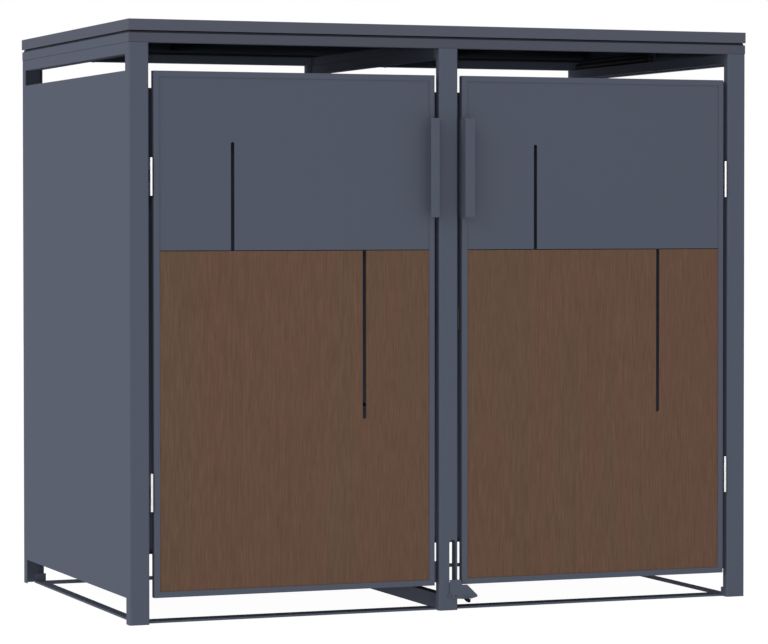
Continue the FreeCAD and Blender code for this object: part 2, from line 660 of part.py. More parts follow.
def magnet_block(side):
    body = new_body(named(side) + "_magnet")
    low, high = mirrored(side, f"{door_free} - magnet_overlap",
                         f"{door_free} + magnet_width - magnet_overlap")
    face = f"{front} + door_depth + keeper_sheet + running_gap"
    pad(body, "XY_Plane", [box_loop(low, high, face, f"{face} + magnet_depth")], *magnet_span)
    return body


def keeper_plate(side):
    body = new_body(named(side) + "_keeper_plate")
    low, high = mirrored(side, door_free, f"{door_free} + magnet_width + magnet_overlap")
    face = f"{front} + door_depth"
    pad(body, "XY_Plane", [box_loop(low, high, face, f"{face} + keeper_sheet")], *magnet_span)
    return body


# Foot bolt. A pointed plate on the front of the centre post, carried by two rivets that run in
# the post's slot and hold a backing plate inside it. The rubber pad under its nose is for the toe.
plate_face = f"({front} - running_gap - slide_plate)"
rivet_places = [(f"slide_slot_place + ({way}) * rivet_pitch / 2", "rivet_height") for way in (-1, 1)]
rivet_holes = [(*place, "rivet_radius") for place in rivet_places]


def foot_bolt_plate():
    body = new_body("foot_bolt_plate")
    left = "slide_slot_place - bolt_inset"
    top = "rivet_height + bolt_rise"
    foot = "rivet_height - bolt_foot"
    tip = f"{door_free} + bolt_nose"
    below_door = "bottom_gap - bolt_clear"
    outline = [
        (left, "rivet_height - rivet_head"), (left, top), (f"{door_free} - bolt_neck", top),
        (f"{door_free} - bolt_clear", below_door), (f"{door_free} + bolt_shoulder", below_door),
        (tip, "rivet_height - nose_drop + nose_half"), (tip, "rivet_height - nose_drop - nose_half"),
        (f"{door_free} + nose_root", foot), (door_free, foot),
    ]
    pad(body, "XZ_Plane", [outline], plate_face, f"{front} - running_gap")
    rounded(body, "slide_plate", lambda at, along: abs(along.y) > 0.9 and near(at.x, tip))
    pocket(body, "XZ_Plane", rivet_holes, f"{plate_face} - 1", front)
    return body


def foot_bolt_backing():
    body = new_body("foot_bolt_backing")
    face = f"{front} + wall_sheet + running_gap"
    tall = ("rivet_height - backing_drop", "rivet_height + backing_rise")
    wide = ("slide_slot_place - backing_half", "slide_slot_place + backing_half")
    pad(body, "XZ_Plane", [box_loop(*wide, *tall)], face, f"{face} + slide_plate")
    pocket(body, "XZ_Plane", rivet_holes, f"{face} - 1", f"{face} + slide_plate + 1")
    return body


def foot_bolt_rivets():
    parts = []
    for index, place in enumerate(rivet_places):
        tag = "rivet_%d" % index
        back = f"{front} + wall_sheet + running_gap + slide_plate"
        shank = rod(tag + "_shank", "rivet_radius", plate_face, f"{back} + rivet_tail", place, "Y")
        head = rod(tag + "_head", "rivet_head", f"{plate_face} - rivet_dome", plate_face, place, "Y")
        parts.append(fused(tag, [shank, head]))
    return grouped("foot_bolt_rivets", parts)


def toe_pad():
    body = new_body("foot_bolt_toe_pad")
    top = "rivet_height - bolt_foot"
    foot = f"{top} - toe_pad_height"
    back = f"{front} - running_gap"
    left = f"{door_free} + toe_pad_place"
    right = f"{left} + toe_pad_width"
    outline = [
        (left, top), (f"{left} + toe_pad_bevel", foot), (f"{right} - toe_pad_bevel / 6", foot), (right, top),
    ]
    pad(body, "XZ_Plane", [outline], f"{back} - toe_pad_depth", back)
    return body


# Gas springs. One beside each side rail: the cylinder turns on a stud of the rail, and the rod
# runs to an eye beside the lid's bracket.
strut_y = f"({lid_axis_y} - strut_back)"
strut_z = f"({lid_axis_z} - strut_drop)"
lid_pivot_y = f"({lid_axis_y} - strut_lid_place)"
lid_pivot_z = f"({lid_axis_z} - strut_lid_drop)"
strut_reach = f"sqrt(({strut_y} - {lid_pivot_y}) ^ 2 + ({lid_pivot_z} - {strut_z}) ^ 2)"


def strut_plane(side):
    return f"({side}) * ({half} - strut_inset)"


def strut_turn():
    """The strut's tilt at rest, from pointing forwards up to the lid's eye, in degrees."""
    rise = size_of(f"{lid_pivot_z} - {strut_z}")
    run = size_of(f"{strut_y} - {lid_pivot_y}")
    return FreeCAD.Vector(run, rise, 0).getAngle(FreeCAD.Vector(1, 0, 0)) * 57.29578


def lay_strut(piece, side):
    """Puts a piece modelled along -Y from the origin onto the strut's line."""
    piece.Placement.Rotation = FreeCAD.Rotation(FreeCAD.Vector(1, 0, 0), -strut_turn())
    piece.setExpression("Placement.Base.x", bound(strut_plane(side)))
    piece.setExpression("Placement.Base.y", bound(strut_y))
    piece.setExpression("Placement.Base.z", bound(strut_z))
    return piece


def gas_cylinder(side):
    body = new_body(named(side) + "_gas_spring_cylinder")
    far = f"({strut_reach} - eye_radius - rod_shown)"
    wall = [("0", "0", "strut_radius"), ("0", "0", "rod_radius + pin_clearance")]
    pad(body, "XZ_Plane", wall, f"-{far}", "-eye_radius - spring_cap / 2")
    cap = [("0", "0", "strut_radius")]
    pad(body, "XZ_Plane", cap, "-eye_radius - spring_cap", "-stud_head - running_gap")
    pad(body, "YZ_Plane", [("0", "0", "eye_radius")], "-eye_half", "eye_half")
    pocket(body, "YZ_Plane", [("0", "0", "stud_radius + pin_clearance")], "-strut_radius", "strut_radius")
    return lay_strut(body, side)


def gas_rod(side):
    body = new_body(named(side) + "_gas_spring_rod")
    pad(body, "XZ_Plane", [("0", "0", "rod_radius")], f"-({strut_reach}) + eye_radius / 2",
        "-eye_radius - spring_cap - running_gap")
    pad(body, "YZ_Plane", [(f"-({strut_reach})", "0", "eye_radius")], "-eye_half", "eye_half")
    return lay_strut(body, side)


def strut_bracket(side):
    """The plate on the roof frame with its stud through the cylinder's eye."""
    tag = named(side) + "_strut_bracket"
    body = new_body(tag + "_plate")
    seat = f"{half} - ring_width"
    low, high = mirrored(side, f"{seat} - wall_sheet", seat)
    plate = box_loop(f"{strut_y} - bracket_reach", f"{strut_y} + eye_radius",
                     f"{strut_z} - stud_head", f"{ring_top} - wall_sheet")
    pad(body, "YZ_Plane", [plate], low, high)
    tip = f"{half} - strut_inset - eye_half - running_gap - stud_head_sheet"
    pivot = (strut_y, strut_z)
    shank = mirrored(side, tip, f"{seat} - wall_sheet / 2")
    stud = rod(tag + "_stud", "stud_radius", *shank, pivot, "X")
    nut = hexagon(tag + "_nut", "stud_head", "stud_head_sheet")
    nut.Placement.Rotation = FreeCAD.Rotation(FreeCAD.Vector(0, 1, 0), 90)
    start = mirrored(side, tip, f"{tip} + stud_head_sheet")[0]
    for letter, formula in zip("xyz", (start, *pivot)):
        nut.setExpression("Placement.Base." + letter, bound(formula))
    return fused(tag, [body, stud, nut])


def lid_bracket(side):
    """The plate under the lid with the boss that the rod's eye hangs beside."""
    tag = named(side) + "_lid_bracket"
    body = new_body(tag + "_plate")
    eye_side = f"{half} - strut_inset + eye_half"
    top = "store_height - lid_sheet"
    along = (f"{lid_pivot_y} - bracket_half", f"{lid_pivot_y} + bracket_half")
    near_face = f"{eye_side} + bracket_gap"
    plate = mirrored(side, near_face, f"{near_face} + wall_sheet")
    pad(body, "YZ_Plane", [box_loop(*along, f"{lid_pivot_z} - bracket_drop", top)], *plate)
    inside = f"{near_face} + wall_sheet / 2"
    shelf = mirrored(side, f"{half} - strut_inset - bracket_shelf", inside)
    pad(body, "YZ_Plane", [box_loop(*along, f"{top} - wall_sheet", top)], *shelf)
    boss = mirrored(side, f"{eye_side} + running_gap", inside)
    pin = rod(tag + "_boss", "stud_radius", *boss, (lid_pivot_y, lid_pivot_z), "X")
    return fused(tag, [body, pin])


# Screws up through the three top rails into the roof frame, half way along.
def rail_screws():
    heads = []
    for way in (-1, 0, 1):
        place = (f"({way}) * ({bay_edge} + rail_width / 2)", "-screw_place",
                 f"{rail_bottom} - screw_head")
        head = hexagon("rail_screw_%d" % (way + 1), "screw_radius", "screw_head")
        for letter, formula in zip("xyz", place):
            head.setExpression("Placement.Base." + letter, bound(formula))
        heads.append(head)
    return grouped("rail_screws", heads)


nodes = []
for side in (-1, 1):
    nodes.append(side_wall(side))
    nodes.append(rear_panel(side))
    nodes.append(side_top_rail(side))
    nodes.append(cross_floor_bar(side, front, 1))
    nodes.append(cross_floor_bar(side, rear, -1))
    nodes.append(side_floor_bar(side))
nodes.append(centre_post("front_centre_post", front, 1))
nodes.append(centre_post("rear_centre_post", rear, -1))
nodes.append(partition_rail("partition_top_rail", rail_bottom, carcass_top))
nodes.append(partition_rail("partition_floor_rail", "0", "partition_foot"))
nodes.append(rail_screws())

nodes.append(mitred_tube("roof_frame_front", "x", f"-{half}", half, front, 1))
nodes.append(mitred_tube("roof_frame_rear", "x", f"-{half}", half, rear, -1))
nodes.append(mitred_tube("roof_frame_left", "y", front, rear, f"-{half}", 1))
nodes.append(mitred_tube("roof_frame_right", "y", front, rear, half, -1))
nodes.append(middle_roof_tube())

nodes.append(lid_tray())
nodes.append(grouped("lid_stiffeners", [lid_stiffener(-1), lid_stiffener(1)]))
nodes.append(lid_buffers())
leaf_top = f"{lid_axis_z} - frame_leaf_drop"
leaf_foot = f"{lid_axis_z} + lid_leaf_rise"
nodes.append(lid_hinge_leaf("lid_hinge_frame_leaf", True, f"{leaf_top} - lid_leaf_height", leaf_top, rear))
nodes.append(lid_hinge_leaf("lid_hinge_lid_leaf", False, leaf_foot, f"{leaf_foot} + lid_leaf_height",
                            f"{rear} + lid_overhang"))
nodes.append(rod("lid_hinge_pin", "lid_pin_radius", *lid_hinge_ends, (lid_axis_y, lid_axis_z), "X"))

for side in (-1, 1):
    nodes.append(door_frame(side))
    nodes.append(door_panel(side, True))
    nodes.append(door_panel(side, False))
    nodes.append(door_brace(side))
    nodes.append(door_handle(side))
    nodes.append(keeper_plate(side))
    for on_door, word in ((0, "post"), (1, "door")):
        leaves = [hinge_leaf(side, on_door, *spot) for spot in enumerate(hinge_heights())]
        nodes.append(grouped("%s_hinge_%s_leaves" % (named(side), word), leaves))
    nodes.append(hinge_pins(side))
    nodes.append(gas_cylinder(side))
    nodes.append(gas_rod(side))

nodes.append(grouped("magnet_brackets", [magnet_bracket(-1), magnet_bracket(1)]))
nodes.append(grouped("door_magnets", [magnet_block(-1), magnet_block(1)]))
nodes.append(grouped("gas_spring_brackets", [strut_bracket(-1), strut_bracket(1)]))
nodes.append(grouped("lid_brackets", [lid_bracket(-1), lid_bracket(1)]))
nodes.append(foot_bolt_plate())
nodes.append(foot_bolt_backing())
nodes.append(foot_bolt_rivets())
nodes.append(toe_pad())

doc.recompute()
for item in doc.Objects:
    if "Invalid" in item.State or "Error" in item.State:
        raise RuntimeError("failed feature: " + item.Label)
for node in nodes:
    if node.Shape.isNull() or not node.Shape.isValid():
        raise RuntimeError("bad shape: " + node.Label)

os.makedirs("parts", exist_ok=True)
for node in nodes:
    node.Shape.exportStep("parts/" + node.Label + ".step")
print("nodes", len(nodes))
for name, formula in (("lid hinge y", lid_axis_y), ("lid hinge z", lid_axis_z), ("door hinge x", hinge_line),
                      ("strut y", strut_y), ("strut z", strut_z), ("strut length", strut_reach),
                      ("front", front), ("half width", half)):
    print(name, round(size_of(formula), 3))
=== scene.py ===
import math
import bpy
import bmesh
from mathutils import Euler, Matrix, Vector


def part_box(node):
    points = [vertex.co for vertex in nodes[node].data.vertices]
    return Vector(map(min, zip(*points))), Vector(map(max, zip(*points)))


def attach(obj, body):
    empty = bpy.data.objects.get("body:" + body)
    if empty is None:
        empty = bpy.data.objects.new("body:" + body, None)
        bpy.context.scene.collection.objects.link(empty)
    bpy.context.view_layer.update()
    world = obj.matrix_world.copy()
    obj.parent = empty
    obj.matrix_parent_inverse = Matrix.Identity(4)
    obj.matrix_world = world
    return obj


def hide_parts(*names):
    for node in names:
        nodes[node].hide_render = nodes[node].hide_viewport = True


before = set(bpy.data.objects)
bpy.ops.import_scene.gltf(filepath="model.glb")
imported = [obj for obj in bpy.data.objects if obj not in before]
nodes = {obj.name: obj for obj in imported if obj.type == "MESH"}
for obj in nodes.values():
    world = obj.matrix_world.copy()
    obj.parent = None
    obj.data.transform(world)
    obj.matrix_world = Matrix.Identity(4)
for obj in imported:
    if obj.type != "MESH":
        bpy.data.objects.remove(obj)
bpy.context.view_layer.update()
scene = bpy.context.scene

# The view. A long lens from the front left, a little above half height, as the store is
# pictured. The picture's centre lies below the line of sight, so the frame is shifted down.
picture_width = 768
lens_px = 3185.6
shift_px = -30.32
turn, tilt, roll = 21.233, 1.299, 0.028
camera_data = bpy.data.cameras.new("view")
camera_data.sensor_width = 36
camera_data.lens = 36 * lens_px / picture_width
camera_data.shift_y = shift_px / picture_width
camera_data.clip_start = 0.1
camera_data.clip_end = 60
camera = bpy.data.objects.new("view", camera_data)
camera.location = (-2.4891, -6.4495, 0.8036)
camera.rotation_euler = Euler((math.radians(90 - tilt), math.radians(roll), math.radians(-turn)))
scene.collection.objects.link(camera)
scene.camera = camera
scene.view_settings.view_transform = "Standard"


# The room. Soft even light from all round, one broad light from the left so that the side wall
# is lighter than the doors, a small lamp above the camera that reaches in through the vents, and
# a white floor that keeps a faint shadow under the store.
def lay(tree, kind, inputs=(), **settings):
    """A shader node of that kind, with its settings made and its sockets given values or wired."""
    node = tree.nodes.new("ShaderNode" + kind)
    for setting, value in settings.items():
        setattr(node, setting, value)
    for socket, value in dict(inputs).items():
        if isinstance(value, bpy.types.NodeSocket):
            tree.links.new(value, node.inputs[socket])
        else:
            node.inputs[socket].default_value = value
    return node


def in_sight(tree):
    """1 where the camera, a gloss or a glass sees the surface, 0 where it only lights the store."""
    rays = lay(tree, "LightPath").outputs
    glossed = lay(tree, "Math", {0: rays["Is Camera Ray"], 1: rays["Is Glossy Ray"]},
                  operation="ADD", use_clamp=True)
    through = lay(tree, "Math", {0: glossed.outputs[0], 1: rays["Is Transmission Ray"]},
                  operation="ADD", use_clamp=True)
    return through.outputs[0]


room = bpy.data.worlds.new("room")
scene.world = room
room.use_nodes = True
walls = room.node_tree
walls.nodes.clear()
plain_white = (1, 1, 1, 1)
dome = lay(walls, "Background", {"Color": plain_white, "Strength": 0.648})
backdrop = lay(walls, "Background", {"Color": plain_white, "Strength": 1.0})
sky = lay(walls, "MixShader", {0: in_sight(walls), 1: dome.outputs[0], 2: backdrop.outputs[0]})
lay(walls, "OutputWorld", {"Surface": sky.outputs[0]})

left_light = bpy.data.lights.new("left_light", "SUN")
left_light.energy = 1.32
left_light.angle = math.radians(50)
left_light_way = Vector((1.0, 0.15, -0.6))
lamp = bpy.data.objects.new("left_light", left_light)
lamp.rotation_euler = left_light_way.to_track_quat("-Z", "Y").to_euler()
scene.collection.objects.link(lamp)

front_light = bpy.data.lights.new("front_light", "AREA")
front_light.shape = "DISK"
front_light.size = 0.2
front_light.energy = 71
front_light_aim = Vector((0, 0, 0.7))
softbox = bpy.data.objects.new("front_light", front_light)
softbox.location = (-2.49, -6.45, 0.97)
softbox.rotation_euler = (-softbox.location + front_light_aim).to_track_quat("-Z", "Y").to_euler()
scene.collection.objects.link(softbox)

floor_half = 14.0
floor_sheet = bpy.data.meshes.new("floor")
floor_corners = [(-floor_half, -floor_half, 0), (floor_half, -floor_half, 0),
                 (floor_half, floor_half, 0), (-floor_half, floor_half, 0)]
floor_sheet.from_pydata(floor_corners, [], [(0, 1, 2, 3)])
floor = bpy.data.objects.new("floor", floor_sheet)
scene.collection.objects.link(floor)
floor_white = bpy.data.materials.new("floor_white")
floor_white.use_nodes = True
tree = floor_white.node_tree
tree.nodes.clear()
matt = lay(tree, "BsdfDiffuse", {"Color": (0.82, 0.82, 0.82, 1)})
glow = lay(tree, "Emission", {"Color": plain_white, "Strength": 1.085})
glow_unseen, glow_added_in_sight = 0.55, 0.35
share = lay(tree, "Math", {0: in_sight(tree), 1: glow_added_in_sight, 2: glow_unseen},
            operation="MULTIPLY_ADD")
white = lay(tree, "MixShader", {0: share.outputs[0], 1: matt.outputs[0], 2: glow.outputs[0]})
lay(tree, "OutputMaterial", {"Surface": white.outputs[0]})
floor_sheet.materials.append(floor_white)


# Side walls. Each is one galvanised sheet folded round both corners, with a vent cut under its
# top edge. It is powder coated in slate grey, and two painted rivets hold the stiffener behind it.
def effect(name, *sockets):
    """A new effect with named inputs, which gives a colour, a roughness and a normal."""
    group = bpy.data.node_groups.new(name, "ShaderNodeTree")
    for socket, kind, value in sockets:
        new = group.interface.new_socket(socket, in_out="INPUT", socket_type="NodeSocket" + kind)
        new.default_value = value
    for socket, kind in (("Color", "Color"), ("Roughness", "Float"), ("Normal", "Vector")):
        group.interface.new_socket(socket, in_out="OUTPUT", socket_type="NodeSocket" + kind)
    takes = group.nodes.new("NodeGroupInput").outputs
    gives = group.nodes.new("NodeGroupOutput").inputs
    return group, takes, gives


def toned(group, colour, change, strength):
    """The colour made lighter and darker by a mask that swings about zero."""
    gain = lay(group, "Math", {0: change, 1: strength, 2: 1.0}, operation="MULTIPLY_ADD")
    return lay(group, "VectorMath", {0: colour, "Scale": gain.outputs[0]},
               operation="SCALE").outputs[0]


def finished(name, group, values, **shader):
    """A material that takes colour, roughness and normal from an effect, the rest as given."""
    material = bpy.data.materials.new(name)
    material.use_nodes = True
    tree = material.node_tree
    tree.nodes.clear()
    skin = lay(tree, "Group", node_tree=group)
    for socket, value in values.items():
        skin.inputs[socket].default_value = value
    links = {socket: skin.outputs[gives] for socket, gives in
             (("Base Color", "Color"), ("Roughness", "Roughness"), ("Normal", "Normal"))}
    plain = {socket.replace("_", " "): value for socket, value in shader.items()}
    surface = lay(tree, "BsdfPrincipled", {**plain, **links})
    lay(tree, "OutputMaterial", {"Surface": surface.outputs[0]})
    return material


def finish_node(material, *names):
    """Gives a material to solids that stay as they are."""
    for name in names:
        for held in nodes[name].material_slots:
            held.material = material


powder_coat, takes, gives = effect("powder_coat", ("Color", "Color", (0.08, 0.09, 0.13, 1)),
                                   ("Grain", "Float", 900.0), ("Tone", "Float", 0.06),
                                   ("Roughness", "Float", 0.5), ("Depth", "Float", 0.00003))
place = lay(powder_coat, "TexCoord").outputs["Object"]
peel = lay(powder_coat, "TexNoise", {"Vector": place, "Scale": takes["Grain"], "Detail": 2.0})
cloud = lay(powder_coat, "TexNoise", {"Vector": place, "Scale": 2.3, "Detail": 3.0})
speck = lay(powder_coat, "TexNoise", {"Vector": place, "Scale": 3200.0, "Detail": 0.0})
drift = lay(powder_coat, "Math", {0: cloud.outputs[0], 1: 0.5, 2: peel.outputs[0]},
            operation="MULTIPLY_ADD")
sparkle = lay(powder_coat, "Math", {0: speck.outputs[0], 1: 0.5, 2: drift.outputs[0]},
              operation="MULTIPLY_ADD")
centred = lay(powder_coat, "Math", {0: sparkle.outputs[0], 1: 1.0}, operation="SUBTRACT").outputs[0]
powder_coat.links.new(toned(powder_coat, takes["Color"], centred, takes["Tone"]), gives["Color"])
dulled = lay(powder_coat, "Math", {0: centred, 1: 0.18, 2: takes["Roughness"]},
             operation="MULTIPLY_ADD")
powder_coat.links.new(dulled.outputs[0], gives["Roughness"])
relief = lay(powder_coat, "Bump", {"Strength": 0.6, "Distance": takes["Depth"],
                                   "Height": peel.outputs[0]})
powder_coat.links.new(relief.outputs[0], gives["Normal"])

slate = (0.080, 0.0905, 0.124, 1)
slate_coat = finished("slate_coat", powder_coat, {"Color": slate, "Roughness": 0.75},
                      Specular_IOR_Level=0.04)
finish_node(slate_coat, "left_side_wall", "right_side_wall")


def turned(shape, profile, foot, way, steps=24, closed=False):
    """Lathe work: (radius, distance) points turned about the line from foot along way."""
    way = Vector(way).normalized()
    side = way.orthogonal().normalized()
    other = way.cross(side)
    rings = []
    for radius, distance in profile:
        centre = Vector(foot) + way * distance
        corners = []
        for step in range(steps if radius else 1):
            angle = 2 * math.pi * (step + 0.5) / steps
            spoke = side * math.cos(angle) + other * math.sin(angle)
            corners.append(shape.verts.new(centre + spoke * radius))
        rings.append(corners)
    for first, second in list(zip(rings, rings[1:])) + ([(rings[-1], rings[0])] if closed else []):
        for step in range(steps):
            after = (step + 1) % steps
            ring = (first[step % len(first)], first[after % len(first)],
                    second[after % len(second)], second[step % len(second)])
            shape.faces.new(dict.fromkeys(ring))


crease = math.radians(32)


def fitted(name, shape, body, slot, material, *stands_for):
    """Makes a finished piece of a form, fixes it to its body and hides the solids it stands for."""
    mesh = bpy.data.meshes.new(name)
    bmesh.ops.recalc_face_normals(shape, faces=shape.faces)
    shape.to_mesh(mesh)
    shape.free()
    mesh.materials.append(material)
    mesh.shade_smooth()
    mesh.set_sharp_from_angle(angle=crease)
    piece = bpy.data.objects.new(name, mesh)
    scene.collection.objects.link(piece)
    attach(piece, body)
    if stands_for:
        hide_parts(*stands_for)
    return piece


wall_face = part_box("right_side_wall")[1].x
wall_rivet_dome = [(0, -0.0005), (0.0032, -0.0005), (0.0032, 0.0002), (0.0024, 0.0006),
                   (0.0013, 0.0008), (0, 0.0009)]
wall_rivet_y = 0.3565
wall_rivet_heights = (0.115, 1.045)
for side, name in ((-1, "left"), (1, "right")):
    rivets = bmesh.new()
    for height in wall_rivet_heights:
        seat = (side * wall_face, wall_rivet_y, height)
        turned(rivets, wall_rivet_dome, seat, (side, 0, 0), steps=16)
    fitted(name + "_wall_rivets", rivets, "carcass", "steel_coat", slate_coat)

# Rear panels and centre posts. Folded sheet in the same coat: the panels close the back between
# the posts, and the front post is slotted near its foot for the bolt.
finish_node(slate_coat, "left_rear_panel", "right_rear_panel")
finish_node(slate_coat, "front_centre_post", "rear_centre_post")

# Top rails and floor bars. Steel tube welded between front and rear posts, and flat bars on the
# ground, drilled for the anchors, all coated with the rest.
finish_node(slate_coat, "partition_top_rail", "partition_floor_rail")
for name in ("left", "right"):
    finish_node(slate_coat, name + "_top_rail", name + "_side_floor_bar")
    finish_node(slate_coat, name + "_front_floor_bar", name + "_rear_floor_bar")

# Rail screws. One flanged hexagon screw goes up through each top rail into the roof frame. They
# are painted over.
screw_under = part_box("rail_screws")[0].z
screw_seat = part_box("rail_screws")[1].z
screw_tall = screw_seat - screw_under
screw_places = (-0.651, 0, 0.651)
screw_y = -0.051
screw_flange = [(0, 0), (0.004, 0), (0.004, 0.0005), (0.0034, 0.0011), (0, 0.0011)]
screw_hexagon = [(0, 0.001), (0.0033, 0.001), (0.0033, screw_tall - 0.0006), (0.0028, screw_tall),
                 (0, screw_tall)]
screws = bmesh.new()
for x in screw_places:
    seat = (x, screw_y, screw_seat)
    turned(screws, screw_flange, seat, (0, 0, -1))
    turned(screws, screw_hexagon, seat, (0, 0, -1), steps=6)
fitted("rail_screw_heads", screws, "carcass", "steel_coat", slate_coat, "rail_screws")

# Roof frame. Square tube mitred at the corners and welded flat on the carcass, with one tube over
# the partition. The lid rests on it, and its front tube is painted a shade darker, as painted
# shade under the lid's edge.
finish_node(slate_coat, "roof_frame_rear", "roof_frame_left")
finish_node(slate_coat, "roof_frame_right", "roof_frame_middle")
# Painted shade: the front tube's coat is darker than the slate, standing for shade under the lid.
painted_shade_slate = (0.0715, 0.0770, 0.1000, 1)
painted_shade_coat = finished("front_tube_painted_shade", powder_coat, {"Color": painted_shade_slate, "Roughness": 0.75},
                       Specular_IOR_Level=0.04)
finish_node(painted_shade_coat, "roof_frame_front")

# Lid. A shallow tray folded from one sheet with a hem turned in below, and two stiffening
# channels glued under its top, coloured near black as painted shade inside the lid.
lid_slate = (0.0825, 0.0900, 0.1180, 1)
lid_coat = finished("lid_coat", powder_coat, {"Color": lid_slate, "Roughness": 0.75},
                    Specular_IOR_Level=0.04)
finish_node(lid_coat, "lid_tray")
# Painted shade: the stiffeners are near black, standing for the dark inside the lid.
stiffener_shade_black = (0.012, 0.013, 0.015, 1)
stiffener_shade_finish = finished("stiffener_shade_finish", powder_coat,
                        {"Color": stiffener_shade_black, "Roughness": 0.8, "Grain": 1400.0},
                        Specular_IOR_Level=0.0)
finish_node(stiffener_shade_finish, "lid_stiffeners")

# Lid seal. A black rubber strip with a rounded back is glued round the top of the roof frame and
# mitred at its corners. The lid's hem lies on it, so no light comes through under the lid.
moulded, takes, gives = effect("moulded_skin", ("Color", "Color", (0.02, 0.02, 0.02, 1)),
                               ("Grain", "Float", 1500.0), ("Tone", "Float", 0.3),
                               ("Roughness", "Float", 0.7), ("Depth", "Float", 0.00004))
place = lay(moulded, "TexCoord").outputs["Object"]
pits = lay(moulded, "TexVoronoi", {"Vector": place, "Scale": takes["Grain"]}, feature="SMOOTH_F1")
bloom = lay(moulded, "TexNoise", {"Vector": place, "Scale": 120.0, "Detail": 3.0})
faded = lay(moulded, "Math", {0: bloom.outputs[0], 1: 0.5}, operation="SUBTRACT").outputs[0]
moulded.links.new(toned(moulded, takes["Color"], faded, takes["Tone"]), gives["Color"])
dulled = lay(moulded, "Math", {0: faded, 1: 0.3, 2: takes["Roughness"]}, operation="MULTIPLY_ADD")
moulded.links.new(dulled.outputs[0], gives["Roughness"])
relief = lay(moulded, "Bump", {"Strength": 0.5, "Distance": takes["Depth"],
                               "Height": pits.outputs[0]})
moulded.links.new(relief.outputs[0], gives["Normal"])


seal_play = 0.0001
seal_foot, seal_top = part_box("roof_frame_front")[1].z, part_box("lid_tray")[0].z - seal_play
seal_tall = seal_top - seal_foot
seal_side, seal_deep = 0.6715, 0.3985
seal_section = [(-0.007, 0), (0.007, 0), (0.007, 0.6), (0.0058, 0.87), (0.0035, 1), (-0.0035, 1),
                (-0.0058, 0.87), (-0.007, 0.6)]
seal = bmesh.new()
rings = []
for side, end in ((-1, 1), (-1, -1), (1, -1), (1, 1)):
    corner = []
    for across, rise in seal_section:
        x, y = side * (seal_side + across), end * (seal_deep + across)
        corner.append(seal.verts.new((x, y, seal_foot + rise * seal_tall)))
    rings.append(corner)
for first, second in zip(rings, rings[1:] + rings[:1]):
    for index in range(len(seal_section)):
        after = (index + 1) % len(seal_section)
        seal.faces.new((first[index], first[after], second[after], second[index]))
seal_black = (0.017, 0.020, 0.027, 1)
seal_rubber = finished("seal_rubber", moulded, {"Color": seal_black, "Roughness": 0.8},
                       Specular_IOR_Level=0.2)
fitted("rubber_lid_seal", seal, "carcass", "rubber", seal_rubber, "lid_buffers")


# Long lid hinge. Two steel leaves, screwed to the backs of the roof frame and the lid, are rolled
# in turn round one pin in knuckles of thirty millimetres. The leaves wear the slate coat.
def rolled(shape, line, sheet, low, high, at):
    """Sheet bent along a line of (across, out) points, from low to high, put in place by at()."""
    skins = []
    for index, (across, out) in enumerate(line):
        before = Vector(line[max(index - 1, 0)])
        after = Vector(line[min(index + 1, len(line) - 1)])
        run = (after - before).normalized() * sheet / 2
        faces = [(across - way * run.y, out + way * run.x) for way in (1, -1)]
        skins.append([[shape.verts.new(at(*face, length)) for face in faces]
                      for length in (low, high)])
    for first, second in zip(skins, skins[1:]):
        for way in (0, 1):
            shape.faces.new((first[0][way], second[0][way], second[1][way], first[1][way]))
            shape.faces.new((first[way][0], first[way][1], second[way][1], second[way][0]))
    for skin in (skins[0], skins[-1]):
        shape.faces.new((skin[0][0], skin[0][1], skin[1][1], skin[1][0]))


def curl(across, out, radius, start, end, steps=18):
    """Points of an arc about a centre, from one angle to another in degrees."""
    angles = [math.radians(start + (end - start) * step / steps) for step in range(steps + 1)]
    return [(across + radius * math.cos(angle), out + radius * math.sin(angle)) for angle in angles]


def screw_head(shape, seat, way, radius):
    """The head of a countersunk screw with its cross slot sunk in, just proud of the leaf."""
    dish = [(0, -0.0004), (radius, -0.0004), (radius, 0.0001), (radius * 0.8, 0.0003),
            (radius * 0.35, 0.0003), (radius * 0.2, -0.0002), (0, -0.0003)]
    turned(shape, dish, seat, way, steps=16)


